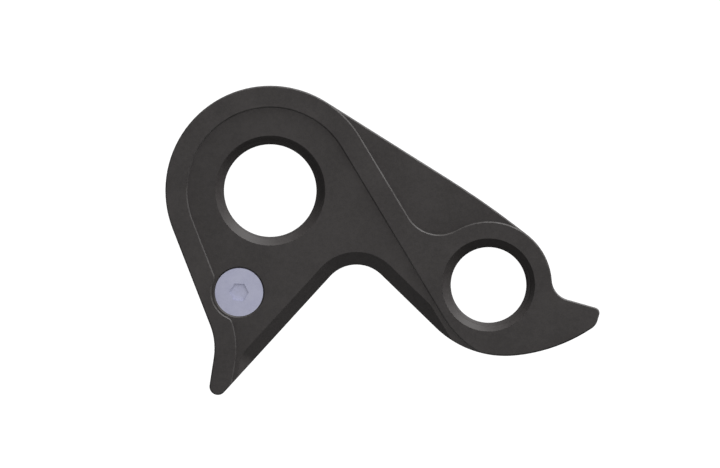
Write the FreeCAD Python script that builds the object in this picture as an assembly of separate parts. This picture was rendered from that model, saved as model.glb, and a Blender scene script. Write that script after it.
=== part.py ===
import FreeCAD, Part
import os
from math import acos, atan2, cos, degrees, hypot, pi, radians, sin, sqrt

# Bicycle derailleur hanger with its fixing screw, in millimetres.
# The origin is on the wheel axle's axis, in the plane that meets the frame.
# X and Y lie in that plane, and Z points inboard, towards the wheel.
# Each outline is walked clockwise as seen from the wheel, so metal lies to its right.

# Levels along Z
plate_thickness = 3.0        # frame seat to hub seat
lip_height = 2.25            # rim above the hub seat
web_thickness = 2.4          # frame seat to the sunk web
boss_depth = 3.25            # bosses outboard of the frame seat

# Axle end
lobe_radius = 12.4
rim_width = 2.6              # lip between the outside edge and the hub pocket
spigot_radius = 8.0          # locates the hanger in the frame
spigot_chamfer = 0.5
axle_minor_radius = 5.459    # M12 x 1 internal thread
axle_major_radius = 6.0
axle_relief_radius = 6.25    # plain counterbore above the thread
axle_relief_depth = 0.6
axle_mouth_chamfer = 0.25

# Derailleur end
bolt_x = 25.8
bolt_y = -11.15
boss_radius = 7.5
bolt_minor_radius = 4.459    # M10 x 1 internal thread
bolt_mouth_radius = 5.5      # chamfer on the wheel side
bolt_exit_radius = 5.1       # chamfer on the derailleur side
boss_foot_radius = 9.0       # step from the derailleur boss to the frame seat

# Upper edge
upper_angle = 32.2
bow_radius = 105.0
rib_angle = 59.0             # pocket wall and rib towards the derailleur boss
web_hollow_radius = 4.2

# Stop claw, which the derailleur's tension screw bears on
claw_angle = 15.95
claw_top_rise = 0.9          # top edge above the bolt's centre, square to the claw
claw_reach = 13.55           # from the bolt's centre, along the claw
claw_root_radius = 2.5
claw_corner_radius = 0.65
claw_toe_radius = 1.7
claw_toe_drop = 1.383        # toe's centre below the top edge, square to the claw
belly_x = 27.8
belly_y = -7.75
belly_radius = 11.8
underside_angle = 5.3        # where it leaves the belly, past the belly's lowest point

# Notch between the two arms
notch_x = 10.19
notch_y = -12.95
notch_radius = 4.2
lead_in_width = 1.5          # ramp that guides the hub into its pocket
lead_in_depth = 1.5
lead_in_inset = 0.5          # ramp ends this far short of the pocket's wall
lead_in_end_radius = 3.0

# Foot and left side
foot_x = -6.19
foot_y = -23.16
foot_radius = 1.0
foot_angle = 81.3
foot_hollow_radius = 7.5
side_angle = 111.3

# Hub pocket
relief_radius = 3.25         # pocket wall around the screw head
relief_blend = 1.0
tail_start = 23.3            # along the right wall, from square to the axle
tail_radius = 12.0
tail_angle = 20.0            # end of the wall, past the notch

# Fixing screw, M3 x 6 countersunk
screw_x = -3.69
screw_y = -12.01
screw_length = 6.0
screw_radius = 1.5
neck_radius = 1.34           # unthreaded neck under the head, at the thread's pitch diameter
thread_start = 0.1           # top of the thread, below the frame seat
head_radius = 2.85
head_land = 0.1
head_sink = 0.05             # head below the hub seat
head_gap = 0.02              # head's cone to its seat
screw_hole_radius = 1.7
screw_tip_chamfer = 0.4
socket_flats = 2.0
socket_depth = 1.1
socket_turn = -3.5           # a corner of the socket, in degrees from +X

# Broken edges
edge_break = 0.15

# Past the part, for cutting shapes
clear = 8.0
past_ramp = 0.2              # share of the ramp that is cut beyond each of its edges
touch = 1e-6


def vec(x, y, z=0.0):
    return FreeCAD.Vector(x, y, z)


def towards(angle):
    """Unit vector at an angle in degrees from +X."""
    return vec(cos(radians(angle)), sin(radians(angle)))


def turned_left(v):
    return vec(-v.y, v.x)


class Run:
    """Straight stretch of an outline: all points whose distance along the left normal is offset."""

    def __init__(self, heading, offset):
        self.along = towards(heading)
        self.normal = turned_left(self.along)
        self.offset = offset

    def shifted(self, distance):
        """The same stretch, moved to its right."""
        moved = Run(0, self.offset - distance)
        moved.along = self.along
        moved.normal = self.normal
        return moved


class Bend:
    """Round stretch of an outline: turn is its radius, above zero where it turns left."""

    def __init__(self, centre, turn):
        self.centre = centre
        self.turn = turn

    def shifted(self, distance):
        """The same stretch, moved to its right."""
        return Bend(self.centre, self.turn + distance)


def run_beside(bend, heading):
    """Straight stretch that leaves a bend at a heading."""
    normal = turned_left(towards(heading))
    return Run(heading, normal.dot(bend.centre) - bend.turn)


def run_between(first, second):
    """Straight stretch that leaves one bend and joins the next."""
    step = second.centre - first.centre
    lean = degrees(acos((second.turn - first.turn) / step.Length))
    heading = degrees(atan2(step.y, step.x)) + lean - 90
    return run_beside(first, heading)


def meeting(first, second):
    """Point where one stretch hands over to the next."""
    if isinstance(first, Run) and isinstance(second, Run):
        across = second.normal.dot(first.along)
        start = first.normal * first.offset
        return start + first.along * ((second.offset - second.normal.dot(start)) / across)
    if isinstance(first, Run):
        return second.centre - first.normal * second.turn
    if isinstance(second, Run):
        return first.centre - second.normal * first.turn
    normal = (first.centre - second.centre) * (1 / (first.turn - second.turn))
    return first.centre - normal * first.turn


def sweep(bend, start, end):
    """Angle that a bend turns through from one point to another, with its sign."""
    first = start - bend.centre
    last = end - bend.centre
    angle = atan2(last.y, last.x) - atan2(first.y, first.x)
    if bend.turn > 0:
        return angle % (2 * pi)
    return -((-angle) % (2 * pi))


def blend(first, second, turn):
    """Bend of a given turn that touches two stretches, on the short way round."""
    if isinstance(second, Run) and isinstance(first, Bend):
        base = second.normal * (second.offset + turn)
        along = second.along
        other = first
    elif isinstance(first, Run) and isinstance(second, Bend):
        base = first.normal * (first.offset + turn)
        along = first.along
        other = second
    elif isinstance(first, Run):
        centre = meeting(first.shifted(-turn), second.shifted(-turn))
        return Bend(centre, turn)
    else:
        step = second.centre - first.centre
        to_first = abs(first.turn - turn)
        to_second = abs(second.turn - turn)
        reach = (step.Length ** 2 + to_first ** 2 - to_second ** 2) / (2 * step.Length)
        step.normalize()
        base = first.centre + step * reach
        along = turned_left(step)
        other = first
    away = other.centre - base
    middle = base + along * away.dot(along)
    height = (other.centre - middle).Length
    half = sqrt(abs(other.turn - turn) ** 2 - height ** 2)
    choices = [Bend(middle + along * half, turn), Bend(middle - along * half, turn)]
    return min(choices, key=lambda b: abs(sweep(b, meeting(first, b), meeting(b, second))))


def round_both(small, smaller, lean):
    """Bend that holds two right-turning bends inside it and touches both, the first where -lean points."""
    gap = small.centre - smaller.centre
    spare = smaller.turn - small.turn
    rise = (spare ** 2 - gap.dot(gap)) / (2 * (gap.dot(lean) - spare))
    return Bend(small.centre + lean * rise, small.turn - rise)


def outline_wire(stretches, level):
    """Closed wire through a list of stretches, at a height."""
    lift = vec(0, 0, level)
    edges = []
    for i, stretch in enumerate(stretches):
        start = meeting(stretches[i - 1], stretch)
        end = meeting(stretch, stretches[(i + 1) % len(stretches)])
        if isinstance(stretch, Run):
            edges.append(Part.LineSegment(start + lift, end + lift).toShape())
        else:
            spoke = start - stretch.centre
            half = sweep(stretch, start, end) / 2
            middle = stretch.centre + spoke * cos(half) + turned_left(spoke) * sin(half)
            edges.append(Part.Arc(start + lift, middle + lift, end + lift).toShape())
    return Part.Wire(edges)


def slab(stretches, low, high):
    """Solid between two heights with a given outline."""
    return Part.Face(outline_wire(stretches, low)).extrude(vec(0, 0, high - low))


def turned(profile, centre):
    """Solid of revolution about an upright axis, from (radius, height) pairs."""
    points = [centre + vec(r, 0, z) for r, z in profile]
    ring = Part.Face(Part.makePolygon(points + points[:1]))
    return ring.revolve(centre, vec(0, 0, 1), 360)


rim_level = plate_thickness + lip_height
axle = vec(0, 0)
bolt = vec(bolt_x, bolt_y)
screw = vec(screw_x, screw_y)

# Outside edge
lobe = Bend(axle, -lobe_radius)
boss = Bend(bolt, -boss_radius)
upper_edge = run_beside(lobe, -upper_angle)
bow = blend(upper_edge, boss, -bow_radius)
claw_top = Run(-claw_angle, towards(90 - claw_angle).dot(bolt) + claw_top_rise)
claw_end = Run(-claw_angle - 90, towards(-claw_angle).dot(bolt) + claw_reach)
claw_root = blend(boss, claw_top, claw_root_radius)
claw_corner = blend(claw_top, claw_end, -claw_corner_radius)
belly = Bend(vec(belly_x, belly_y), -belly_radius)
toe_along = claw_top.along * (claw_reach - claw_toe_radius)
toe_across = claw_top.normal * (claw_top_rise - claw_toe_drop)
claw_toe = Bend(bolt + toe_along + toe_across, -claw_toe_radius)
underside = round_both(belly, claw_toe, towards(90 + underside_angle))
notch = Bend(vec(notch_x, notch_y), notch_radius)
foot_tip = Bend(vec(foot_x, foot_y), -foot_radius)
notch_right = run_between(belly, notch)
notch_left = run_between(notch, foot_tip)
foot_side = run_beside(foot_tip, foot_angle)
left_side = run_beside(lobe, side_angle)
foot_hollow = blend(foot_side, left_side, foot_hollow_radius)
rib_edge = run_beside(lobe, -rib_angle)
web_hollow = blend(rib_edge, boss, web_hollow_radius)

claw_and_arms = [boss, claw_root, claw_top, claw_corner, claw_end, claw_toe, underside, belly,
                 notch_right, notch, notch_left, foot_tip, foot_side, foot_hollow, left_side, lobe]


def hub_pocket():
    """Room for the hub's end cap: a rim_width lip all round, open below through the notch."""
    foot_wall = foot_side.shifted(rim_width)
    hollow_wall = foot_hollow.shifted(rim_width)
    left_wall = left_side.shifted(rim_width)
    end_wall = lobe.shifted(rim_width)
    right_wall = run_beside(end_wall, -rib_angle)
    relief = Bend(screw, -relief_radius)
    turning_point = right_wall.normal * right_wall.offset + right_wall.along * tail_start
    tail = Bend(turning_point + right_wall.normal * tail_radius, tail_radius)
    run_out = run_beside(tail, -tail_angle)
    below = Run(180, -foot_y + clear)
    stretches = [foot_wall, hollow_wall, blend(hollow_wall, relief, relief_blend), relief,
                 blend(relief, left_wall, relief_blend), left_wall, end_wall, right_wall, tail,
                 run_out, below]
    return slab(stretches, plate_thickness, rim_level + clear)


def lead_in():
    """Ramp round the notch, from the hub seat down to the notch's wall."""
    foot_end = Run(foot_angle - 180, -(foot_side.offset - rim_width - lead_in_inset))
    rib_end = Run(180 - rib_angle, -(lobe_radius - rim_width - lead_in_inset))
    right = notch_right.shifted(lead_in_width)
    left = notch_left.shifted(lead_in_width)
    stretches = [rib_end, blend(rib_end, right, lead_in_end_radius), right,
                 notch.shifted(lead_in_width), left, blend(left, foot_end, lead_in_end_radius),
                 foot_end]
    below = Run(0, foot_y - clear)
    wires = []
    for share in (-past_ramp, 1 + past_ramp):
        moved = [s.shifted(-share * lead_in_width) for s in stretches + [below]]
        wires.append(outline_wire(moved, plate_thickness - share * lead_in_depth))
    faces = []
    for face in Part.makeLoft(wires, True, True).Faces:
        if not isinstance(face.Surface, Part.Cone):
            corners = [v.Point for v in face.OuterWire.OrderedVertexes]
            face = Part.Face(Part.makePolygon(corners + corners[:1]))
        faces.append(face)
    shell = Part.Shell(faces)
    shell.sewShape()
    return Part.Solid(shell)


def axle_bore():
    """Threaded hole for the axle. On the hub seat it has a broken mouth and a plain relief,
    which narrows to the thread in a 45 degree cone."""
    mouth = axle_relief_radius + axle_mouth_chamfer
    relief_floor = plate_thickness - axle_relief_depth
    return turned([
        (0, -boss_depth - clear),
        (axle_major_radius + clear, -boss_depth - clear),
        (axle_minor_radius, -boss_depth + axle_major_radius - axle_minor_radius),
        (axle_minor_radius, relief_floor - axle_relief_radius + axle_minor_radius),
        (axle_relief_radius, relief_floor),
        (axle_relief_radius, plate_thickness - axle_mouth_chamfer),
        (mouth + clear, plate_thickness + clear),
        (0, plate_thickness + clear),
    ], axle)


def bolt_bore():
    """Threaded hole for the derailleur's bolt, chamfered at both ends."""
    mouth = bolt_mouth_radius - bolt_minor_radius
    leave = bolt_exit_radius - bolt_minor_radius
    return turned([
        (0, -boss_depth - clear),
        (bolt_exit_radius + clear, -boss_depth - clear),
        (bolt_minor_radius, -boss_depth + leave),
        (bolt_minor_radius, rim_level - mouth),
        (bolt_mouth_radius + clear, rim_level + clear),
        (0, rim_level + clear),
    ], bolt)


def edges_at(shape, level, apart_from):
    """Edges of a shape that lie at one height, apart from those around the given centres."""
    found = []
    for edge in shape.Edges:
        heights = [v.Z for v in edge.Vertexes]
        around = isinstance(edge.Curve, Part.Circle) and any(
            hypot(edge.Curve.Center.x - c.x, edge.Curve.Center.y - c.y) < touch for c in apart_from)
        if max(abs(z - level) for z in heights) < touch and not around:
            found.append(edge)
    return found


head_top = plate_thickness - head_sink
cone_top = head_top - head_land
cone_height = head_radius - neck_radius


def screw_hole():
    """Countersunk hole whose 45 degree cone runs head_gap away from the screw's, square to it."""
    spread = head_radius + head_gap * sqrt(2) - cone_top
    mouth = plate_thickness + spread
    return turned([
        (0, -clear),
        (screw_hole_radius, -clear),
        (screw_hole_radius, screw_hole_radius - spread),
        (mouth, plate_thickness),
        (mouth, plate_thickness + clear),
        (0, plate_thickness + clear),
    ], screw)


def hanger():
    """Plate with a sunk web, a raised rim and two bosses that stand out to the outboard side."""
    middle = web_thickness / 2
    web = slab([lobe, upper_edge, bow] + claw_and_arms[:-1], 0, web_thickness)
    web = web.makeChamfer(edge_break, edges_at(web, 0, []) + edges_at(web, web_thickness, []))
    rim = slab([rib_edge, web_hollow] + claw_and_arms, middle, rim_level)
    boss_blank = slab([rib_edge, web_hollow] + claw_and_arms, -boss_depth, middle)
    foot_height = boss_depth + middle
    around = Part.makeCylinder(boss_foot_radius, foot_height, bolt - vec(0, 0, boss_depth))
    aside = boss_radius + clear
    beyond = Part.makeBox(claw_reach + clear, 2 * aside, foot_height,
                          bolt - vec(0, aside, boss_depth))
    boss_foot = boss_blank.common(around.fuse(beyond))
    spigot = turned([
        (0, -boss_depth),
        (spigot_radius - spigot_chamfer, -boss_depth),
        (spigot_radius, -boss_depth + spigot_chamfer),
        (spigot_radius, plate_thickness),
        (0, plate_thickness),
    ], axle)
    body = web.fuse([rim, boss_foot, spigot]).removeSplitter()
    body = body.cut(hub_pocket())
    sharp = edges_at(body, rim_level, []) + edges_at(body, -boss_depth, [axle])
    body = body.makeChamfer(edge_break, sharp)
    return body.cut([lead_in(), axle_bore(), bolt_bore(), screw_hole()]).removeSplitter()


def fixing_screw():
    """Countersunk screw with a hexagon socket, standing at its seat."""
    tip = head_top - screw_length
    body = turned([
        (0, tip),
        (screw_radius - screw_tip_chamfer, tip),
        (screw_radius, tip + screw_tip_chamfer),
        (screw_radius, -thread_start),
        (neck_radius, screw_radius - neck_radius - thread_start),
        (neck_radius, cone_top - cone_height),
        (head_radius, cone_top),
        (head_radius, head_top),
        (0, head_top),
    ], screw)
    sides = 6
    corner = socket_flats / 2 / cos(pi / sides)
    corners = [screw + towards(socket_turn + 360 / sides * i) * corner + vec(0, 0, head_top)
               for i in range(sides)]
    socket = Part.Face(Part.makePolygon(corners + corners[:1])).extrude(vec(0, 0, -socket_depth))
    return body.cut(socket)


os.makedirs("parts", exist_ok=True)
for name, shape in (("hanger", hanger()), ("fixing_screw", fixing_screw())):
    solid = shape.Solids[0]
    box = solid.BoundBox
    print(name, "solids", len(shape.Solids), "valid", solid.isValid(), "volume", round(solid.Volume, 2),
          "box", [round(v, 2) for v in (box.XMin, box.XMax, box.YMin, box.YMax, box.ZMin, box.ZMax)])
    solid.exportStep("parts/" + name + ".step")
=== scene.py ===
from math import pi, radians

import bpy
import numpy as np
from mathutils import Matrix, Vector


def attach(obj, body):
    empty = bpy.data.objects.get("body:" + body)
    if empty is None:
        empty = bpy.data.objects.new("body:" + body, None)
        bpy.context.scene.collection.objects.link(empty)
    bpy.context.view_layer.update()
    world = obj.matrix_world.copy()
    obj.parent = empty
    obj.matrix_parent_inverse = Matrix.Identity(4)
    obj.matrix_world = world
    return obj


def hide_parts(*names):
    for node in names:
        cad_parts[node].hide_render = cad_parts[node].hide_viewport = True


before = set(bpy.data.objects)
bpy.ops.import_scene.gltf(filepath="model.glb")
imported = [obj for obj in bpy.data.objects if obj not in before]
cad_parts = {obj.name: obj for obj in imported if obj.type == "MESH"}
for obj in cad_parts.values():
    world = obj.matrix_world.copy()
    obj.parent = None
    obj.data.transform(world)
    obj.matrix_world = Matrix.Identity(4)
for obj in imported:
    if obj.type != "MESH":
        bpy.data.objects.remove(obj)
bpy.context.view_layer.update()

# Lengths are in millimetres, and meshes are put into metres when they are made.
MM = 0.001
WELD = 0.001                 # points nearer than this are one point
TINY = 1e-12                 # keeps a division from being by nothing

# Where the threads are, and the heights that they start and end at
axle_centre = (0.0, 0.0)
bolt_centre = (25.8, -11.15)
screw_centre = (-3.69, -12.01)
boss_end = -3.25             # outboard end of both threaded bosses
cone_top = 2.4               # wheel end of the cone that leads into the axle thread
rim_level = 5.25             # wheel end of the derailleur thread
screw_tip = -3.05
screw_neck = 0.06            # where the thread's upper chamfer meets the plain neck

# Radii at those heights. Inboard is the wheel side.
axle_outboard = 6.0
axle_inboard = 6.25
bolt_outboard = 5.1
bolt_inboard = 5.5
tip_radius = 1.1
neck_radius = 1.34

# Threads: pitches, major radii, and the heights where the middle of the major flat, a bore's
# groove or the screw's crest, is straight towards +X
bore_pitch = 1.0
axle_major = 6.0
bolt_major = 5.0
axle_start = 0.81
bolt_start = 0.68
screw_pitch = 0.5
screw_major = 1.5
screw_start = 0.0
runout_length = 0.9          # of the screw's thread, below its neck

# Thread form, in shares of the pitch, which puts the flanks at 60 degrees to each other
depth_share = 0.5413
major_flat_share = 1 / 8
minor_flat_share = 1 / 4

# Points of the threads: columns in a full turn, and height between rows
axle_columns = 120
bolt_columns = 104
screw_columns = 56
row_step = 0.05
screw_row_step = 0.035

# Broken edges, which wear first: the height that their faces stay under, and the limits of
# their tilt, which is 0 for an upright face and 1 for a level one
brink_height = 0.16
least_tilt = 0.2
most_tilt = 0.98
crease_angle = 15.0          # in degrees


# Threads

def thread_radius(turn, height, pitch, major, start):
    """Radius of a right-hand thread. The middle line of its major flat is at the height start
    where turn is 0, and rises by the pitch in a full turn. A point's height above the nearest
    pass of that line, wrapped to half a pitch each way, is held at the major radius for half
    the flat's width, then falls in a straight flank to the minor radius."""
    along = height - start - pitch * turn / (2 * pi)
    from_line = np.abs((along / pitch + 0.5) % 1 - 0.5)
    flank = (1 - major_flat_share - minor_flat_share) / 2
    fall = np.clip((from_line - major_flat_share / 2) / flank, 0, 1)
    return major - depth_share * pitch * fall


def bore_radius(turn, height, low, high, pitch, major, start):
    """The larger of the thread's radius and the 45 degree chamfers at the bore's two ends."""
    thread = thread_radius(turn, height, pitch, major, start)
    low_chamfer = low[1] - (height - low[0])
    high_chamfer = high[1] - (high[0] - height)
    return np.maximum(thread, np.maximum(low_chamfer, high_chamfer))


def shank_radius(turn, height, low, high, pitch, major, start):
    """The smallest of the 45 degree chamfers at the thread's two ends and its radius, whose
    groove fades out evenly over runout_length below the upper end."""
    fade = np.clip((high[0] - height) / runout_length, 0, 1)
    groove = major - thread_radius(turn, height, pitch, major, start)
    low_chamfer = low[1] + height - low[0]
    high_chamfer = high[1] + high[0] - height
    return np.minimum(major - groove * fade, np.minimum(low_chamfer, high_chamfer))


def welded(node):
    """Points and triangles of a CAD node, with the points that its triangles share merged."""
    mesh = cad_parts[node].data
    mesh.calc_loop_triangles()
    flat = np.empty(len(mesh.vertices) * 3, np.float32)
    mesh.vertices.foreach_get("co", flat)
    corners = np.empty(len(mesh.loop_triangles) * 3, np.int32)
    mesh.loop_triangles.foreach_get("vertices", corners)
    points = flat.reshape(-1, 3).astype(float) / MM
    steps = np.round(points / WELD).astype(np.int64)
    _, first, same = np.unique(steps, axis=0, return_index=True, return_inverse=True)
    triangles = same.reshape(-1)[corners].reshape(-1, 3)
    flat_ones = (triangles == np.roll(triangles, 1, axis=1)).any(axis=1)
    return points[first], triangles[~flat_ones]


def stitched(lower, lower_turns, upper, upper_turns):
    """Triangles between two rings of points with their own counts. Both rings are walked at
    once, and each side of one ring gets the point that the other has reached at its middle."""
    lower_gap = (np.roll(lower_turns, -1) - lower_turns) % (2 * pi)
    upper_gap = (np.roll(upper_turns, -1) - upper_turns) % (2 * pi)
    lower_middle = lower_turns + lower_gap / 2
    upper_middle = upper_turns + upper_gap / 2
    reached_above = np.searchsorted(upper_middle, lower_middle) % len(upper)
    reached_below = np.searchsorted(lower_middle, upper_middle) % len(lower)
    rising = np.column_stack([lower, np.roll(lower, -1), upper[reached_above]])
    falling = np.column_stack([np.roll(upper, -1), upper, lower[reached_below]])
    return np.concatenate([rising, falling])


def ring_at(points, candidates, centre, level):
    """The candidates at one height, in order of their angle about the centre, and the angles."""
    ring = candidates[np.abs(points[candidates, 2] - level) < WELD]
    turns = np.arctan2(points[ring, 1] - centre[1], points[ring, 0] - centre[0]) % (2 * pi)
    order = np.argsort(turns)
    return ring[order], turns[order]


def with_thread(points, faces, centre, low, high, radius, thread, columns, step, inward):
    """Swaps a plain wall between two rings, each given as (height, radius), for a threaded one.
    The new wall is a grid over the angle about the axis and the height, and each of its points
    lies at the radius that the given function has there. The thread is its pitch, its major
    radius and the height where it starts."""
    away = np.hypot(points[:, 0] - centre[0], points[:, 1] - centre[1])
    within = (away < max(low[1], high[1], thread[1]) + WELD)
    within &= (points[:, 2] > low[0] - WELD) & (points[:, 2] < high[0] + WELD)
    heights = points[faces, 2]
    wall = within[faces].all(axis=1) & (np.ptp(heights, axis=1) > WELD)
    touched = np.unique(faces[wall])
    low_ring, low_turns = ring_at(points, touched, centre, low[0])
    high_ring, high_turns = ring_at(points, touched, centre, high[0])

    rows = int(round((high[0] - low[0]) / step)) - 1
    levels = np.linspace(low[0], high[0], rows + 2)[1:-1]
    turns = np.linspace(0, 2 * pi, columns, endpoint=False)
    turn, height = np.meshgrid(turns, levels)
    reach = radius(turn, height, low, high, *thread)
    grid = np.stack([centre[0] + reach * np.cos(turn), centre[1] + reach * np.sin(turn), height],
                    axis=-1).reshape(-1, 3)

    index = len(points) + np.arange(rows * columns).reshape(rows, columns)
    beside = np.roll(index, -1, axis=1)
    lower_halves = np.stack([index[:-1], beside[:-1], beside[1:]], axis=-1).reshape(-1, 3)
    upper_halves = np.stack([index[:-1], beside[1:], index[1:]], axis=-1).reshape(-1, 3)
    new = np.concatenate([
        stitched(low_ring, low_turns, index[0], turns),
        lower_halves,
        upper_halves,
        stitched(index[-1], turns, high_ring, high_turns),
    ])
    if inward:
        new = new[:, ::-1]
    return np.concatenate([points, grid]), np.concatenate([faces[~wall], new])


def broken_edges(points, faces, smooth_from):
    """1 for each narrow sloping face that has no thread's point, and 0 for the others."""
    corners = points[faces]
    normals = np.cross(corners[:, 1] - corners[:, 0], corners[:, 2] - corners[:, 0])
    tilt = np.abs(normals[:, 2]) / np.maximum(np.linalg.norm(normals, axis=1), TINY)
    sloping = (tilt > least_tilt) & (tilt < most_tilt)
    narrow = np.ptp(corners[:, :, 2], axis=1) < brink_height
    threads = (faces >= smooth_from).any(axis=1)
    return (sloping & narrow & ~threads).astype(np.float32)


def mark_creases(mesh, of_thread, brink):
    """Marks creases sharp, apart from those between two of a thread's points. The border of the
    broken edges is marked too, or shading would blend across it where one runs out into a
    wall."""
    mesh.set_sharp_from_angle(angle=radians(crease_angle))
    ends = np.empty(len(mesh.edges) * 2, np.int32)
    mesh.edges.foreach_get("vertices", ends)
    threaded = of_thread[ends.reshape(-1, 2)].all(axis=1)
    edge_of_side = np.empty(len(mesh.loops), np.int32)
    mesh.loops.foreach_get("edge_index", edge_of_side)
    brinks_beside = np.bincount(edge_of_side, np.repeat(brink, 3), len(mesh.edges))
    border = brinks_beside == 1
    marks = mesh.attributes["sharp_edge"].data
    sharp = np.empty(len(marks), bool)
    marks.foreach_get("value", sharp)
    marks.foreach_set("value", (sharp & ~threaded) | border)


def piece(name, points, faces, smooth_from):
    """Mesh object in metres, without the points that no face uses. Points numbered smooth_from
    and up belong to threads. A face attribute, brink, is 1 on broken edges."""
    used = np.unique(faces)
    place = np.zeros(len(points), np.int64)
    place[used] = np.arange(len(used))
    mesh = bpy.data.meshes.new(name)
    mesh.from_pydata((points[used] * MM).tolist(), [], place[faces].tolist())
    mesh.shade_smooth()
    brink = broken_edges(points, faces, smooth_from)
    mesh.attributes.new("brink", "FLOAT", "FACE").data.foreach_set("value", brink)
    mark_creases(mesh, used >= smooth_from, brink)
    mesh.update()
    made = bpy.data.objects.new(name, mesh)
    bpy.context.scene.collection.objects.link(made)
    return made


def threaded_hanger():
    """The hanger with its M12 x 1 axle thread and M10 x 1 derailleur thread cut."""
    points, faces = welded("hanger")
    plain = len(points)
    points, faces = with_thread(points, faces, axle_centre,
                                (boss_end, axle_outboard), (cone_top, axle_inboard), bore_radius,
                                (bore_pitch, axle_major, axle_start), axle_columns, row_step, True)
    points, faces = with_thread(points, faces, bolt_centre,
                                (boss_end, bolt_outboard), (rim_level, bolt_inboard), bore_radius,
                                (bore_pitch, bolt_major, bolt_start), bolt_columns, row_step, True)
    return piece("threaded_hanger", points, faces, plain)


def threaded_screw():
    """The fixing screw with its M3 thread."""
    points, faces = welded("fixing_screw")
    plain = len(points)
    points, faces = with_thread(points, faces, screw_centre,
                                (screw_tip, tip_radius), (screw_neck, neck_radius), shank_radius,
                                (screw_pitch, screw_major, screw_start),
                                screw_columns, screw_row_step, False)
    return piece("threaded_screw", points, faces, plain)


# Materials

class Shade:
    """A socket in a material's node tree. Operators on values add Math nodes."""

    def __init__(self, tree, socket=None):
        self.tree = tree
        self.socket = socket

    def node(self, kind, settings=None, values=None, output=0):
        """Any node: its settings are set first, then the values or links of its sockets."""
        made = self.tree.nodes.new(kind)
        for name, value in (settings or {}).items():
            setattr(made, name, value)
        for name, value in (values or {}).items():
            if isinstance(value, Shade):
                self.tree.links.new(value.socket, made.inputs[name])
            else:
                made.inputs[name].default_value = value
        return Shade(self.tree, made.outputs[output])

    def maths(self, operation, first, second):
        return self.node("ShaderNodeMath", {"operation": operation}, {0: first, 1: second})

    def __add__(self, other):
        return self.maths("ADD", self, other)

    def __radd__(self, other):
        return self.maths("ADD", other, self)

    def __sub__(self, other):
        return self.maths("SUBTRACT", self, other)

    def __rsub__(self, other):
        return self.maths("SUBTRACT", other, self)

    def __mul__(self, other):
        return self.maths("MULTIPLY", self, other)

    def __rmul__(self, other):
        return self.maths("MULTIPLY", other, self)


def new_material(name):
    """An empty node material: its tree as a Shade, and its Principled shader."""
    material = bpy.data.materials.new(name)
    material.use_nodes = True
    shader = material.node_tree.nodes["Principled BSDF"]
    return material, Shade(material.node_tree), shader


def feed(shader, name, value):
    value.tree.links.new(value.socket, shader.inputs[name])


def millimetres(tree):
    """Object coordinates in millimetres."""
    place = tree.node("ShaderNodeTexCoord", output="Object")
    return tree.node("ShaderNodeVectorMath", {"operation": "SCALE"}, {0: place, "Scale": 1 / MM})


def grain(tree, place, scale, detail):
    """Noise around 0, from about -0.5 to 0.5."""
    values = {"Vector": place, "Scale": scale, "Detail": detail}
    return tree.node("ShaderNodeTexNoise", values=values) - 0.5


def tinted(tree, dark, light, share):
    """Colour between two, by a share from 0 to 1."""
    values = {"Factor": share, "A": dark, "B": light}
    return tree.node("ShaderNodeMix", {"data_type": "RGBA"}, values, output="Result")


def between(tree, value, low, high):
    """Share from 0 at low to 1 at high, eased at both ends."""
    values = {"Value": value, "From Min": low, "From Max": high}
    return tree.node("ShaderNodeMapRange", {"interpolation_type": "SMOOTHSTEP"}, values)


def anodised_aluminium():
    """Satin black anodised aluminium: a blasted grain, mottling and faint clouds in the dye,
    and broken edges that are rubbed smoother and paler in patches."""
    material, tree, shader = new_material("black_anodised_aluminium")
    place = millimetres(tree)
    clouds = grain(tree, place, scale=0.18, detail=3.0)
    mottle = grain(tree, place, scale=2.2, detail=2.0)
    blast = grain(tree, place, scale=7.0, detail=4.0)
    brink = tree.node("ShaderNodeAttribute", {"attribute_name": "brink"}, output="Fac")
    deep_dye = (0.0201, 0.0179, 0.0175, 1)
    thin_dye = (0.0359, 0.0325, 0.0318, 1)
    rubbed = (0.055, 0.053, 0.053, 1)
    share = between(tree, clouds * 0.5 + mottle * 0.4 + blast * 0.6 + 0.5, low=0.2, high=0.8)
    dye = tinted(tree, deep_dye, thin_dye, share)
    wear = brink * between(tree, clouds + mottle * 0.6, low=-0.25, high=0.35)
    feed(shader, "Base Color", tinted(tree, dye, rubbed, wear * 0.6))
    feed(shader, "Roughness", 0.62 + blast * 0.18 + mottle * 0.10 + clouds * 0.05 - wear * 0.10)
    bump = tree.node("ShaderNodeBump", None, {"Strength": 0.5, "Distance": 0.008 * MM,
                                              "Height": blast + mottle * 0.25})
    feed(shader, "Normal", bump)
    shader.inputs["Specular IOR Level"].default_value = 0.25
    return material


def zinc_plate():
    """Blue passivated zinc over a turned head: fine rings about the screw's axis and a light
    grain in a plating that is a little uneven."""
    material, tree, shader = new_material("blue_zinc_plate")
    place = millimetres(tree)
    across = tree.node("ShaderNodeVectorMath", {"operation": "MULTIPLY"},
                       {0: place, 1: (1, 1, 0)})
    away = tree.node("ShaderNodeVectorMath", {"operation": "DISTANCE"},
                     {0: across, 1: Vector((*screw_centre, 0))}, output="Value")
    ring_pitch = 0.12
    turning = tree.node("ShaderNodeMath", {"operation": "SINE"}, {0: away * (2 * pi / ring_pitch)})
    clouds = grain(tree, place, scale=0.7, detail=3.0)
    crystals = grain(tree, place, scale=14.0, detail=3.0)
    dark_zinc = (0.30, 0.305, 0.40, 1)
    light_zinc = (0.40, 0.405, 0.505, 1)
    share = between(tree, clouds * 0.9 + crystals * 0.4 + 0.5, low=0.1, high=0.9)
    feed(shader, "Base Color", tinted(tree, dark_zinc, light_zinc, share))
    feed(shader, "Roughness", 0.44 + crystals * 0.20 + clouds * 0.12)
    bump = tree.node("ShaderNodeBump", None, {"Strength": 0.4, "Distance": 0.003 * MM,
                                              "Height": turning * 0.3 + crystals})
    feed(shader, "Normal", bump)
    shader.inputs["Metallic"].default_value = 1.0
    return material


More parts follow.
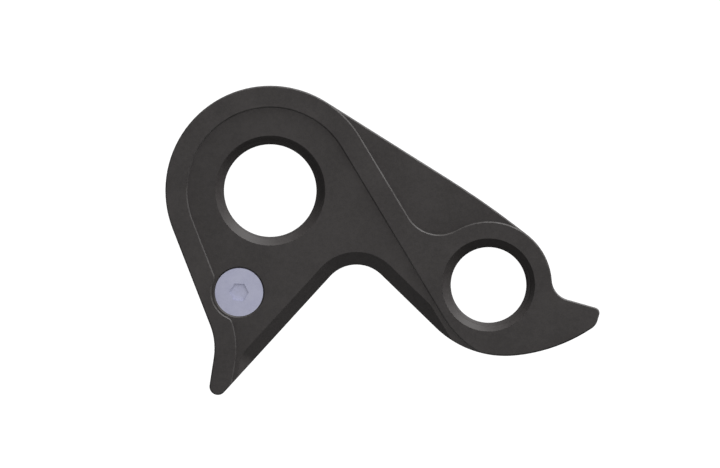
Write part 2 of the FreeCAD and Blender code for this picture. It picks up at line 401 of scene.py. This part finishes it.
# Floor, light and camera

def pale_floor():
    """Flat sheet just under the part's outboard side, which gives off a soft light."""
    half = 1500 * MM
    drop = 0.02
    level = (boss_end - drop) * MM
    mesh = bpy.data.meshes.new("floor")
    corners = [(-half, -half, level), (half, -half, level), (half, half, level), (-half, half, level)]
    mesh.from_pydata(corners, [], [(0, 1, 2, 3)])
    floor = bpy.data.objects.new("floor", mesh)
    bpy.context.scene.collection.objects.link(floor)
    material, tree, shader = new_material("pale_floor")
    speckle = grain(tree, millimetres(tree), scale=0.05, detail=2.0)
    share = between(tree, speckle + 0.5, low=0.0, high=1.0)
    feed(shader, "Base Color", tinted(tree, (0.30, 0.30, 0.30, 1), (0.32, 0.32, 0.32, 1), share))
    shader.inputs["Emission Color"].default_value = (1, 1, 1, 1)
    shader.inputs["Emission Strength"].default_value = 0.8
    shader.inputs["Roughness"].default_value = 0.9
    shader.inputs["Specular IOR Level"].default_value = 0.0
    mesh.materials.append(material)
    floor.visible_glossy = False


def soft_light(name, place, width, power, shadow):
    """Square lamp that faces the part. Its place and width are in metres, its power in watts."""
    data = bpy.data.lights.new(name, "AREA")
    data.size = width
    data.energy = power
    data.use_shadow = shadow
    lamp = bpy.data.objects.new(name, data)
    bpy.context.scene.collection.objects.link(lamp)
    lamp.location = place
    lamp.rotation_euler = Vector(place).to_track_quat("Z", "Y").to_euler()
    lamp.visible_camera = False


def studio():
    """Even grey surroundings, a broad lamp overhead, and a low one to the upper right, which
    casts no shadow and so reaches the hub pocket too."""
    world = bpy.data.worlds.new("studio")
    world.use_nodes = True
    world.node_tree.nodes["Background"].inputs["Color"].default_value = (0.35, 0.35, 0.35, 1)
    bpy.context.scene.world = world
    soft_light("overhead", (0.06, 0.10, 1.0), width=0.5, power=1.36, shadow=True)
    soft_light("low_side", (0.40, 0.75, 0.28), width=0.4, power=18.3, shadow=False)
    bpy.context.scene.view_settings.view_transform = "Standard"


def parallel_camera():
    """Looks straight down on the wheel side, as a drawing does, with no perspective."""
    centre_x, centre_y = 10.61, -5.13
    view_width = 85.1
    height = 300.0
    data = bpy.data.cameras.new("camera")
    data.type = "ORTHO"
    data.ortho_scale = view_width * MM
    data.clip_start = 10 * MM
    data.clip_end = 1000 * MM
    camera = bpy.data.objects.new("camera", data)
    bpy.context.scene.collection.objects.link(camera)
    camera.location = Vector((centre_x, centre_y, height)) * MM
    bpy.context.scene.camera = camera


for make, node, slot, finish in (
    (threaded_hanger, "hanger", "anodised_aluminium", anodised_aluminium),
    (threaded_screw, "fixing_screw", "zinc_plated_steel", zinc_plate),
):
    made = make()
    made.data.materials.append(finish())
    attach(made, "root")
    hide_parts(node)

pale_floor()
studio()
parallel_camera()
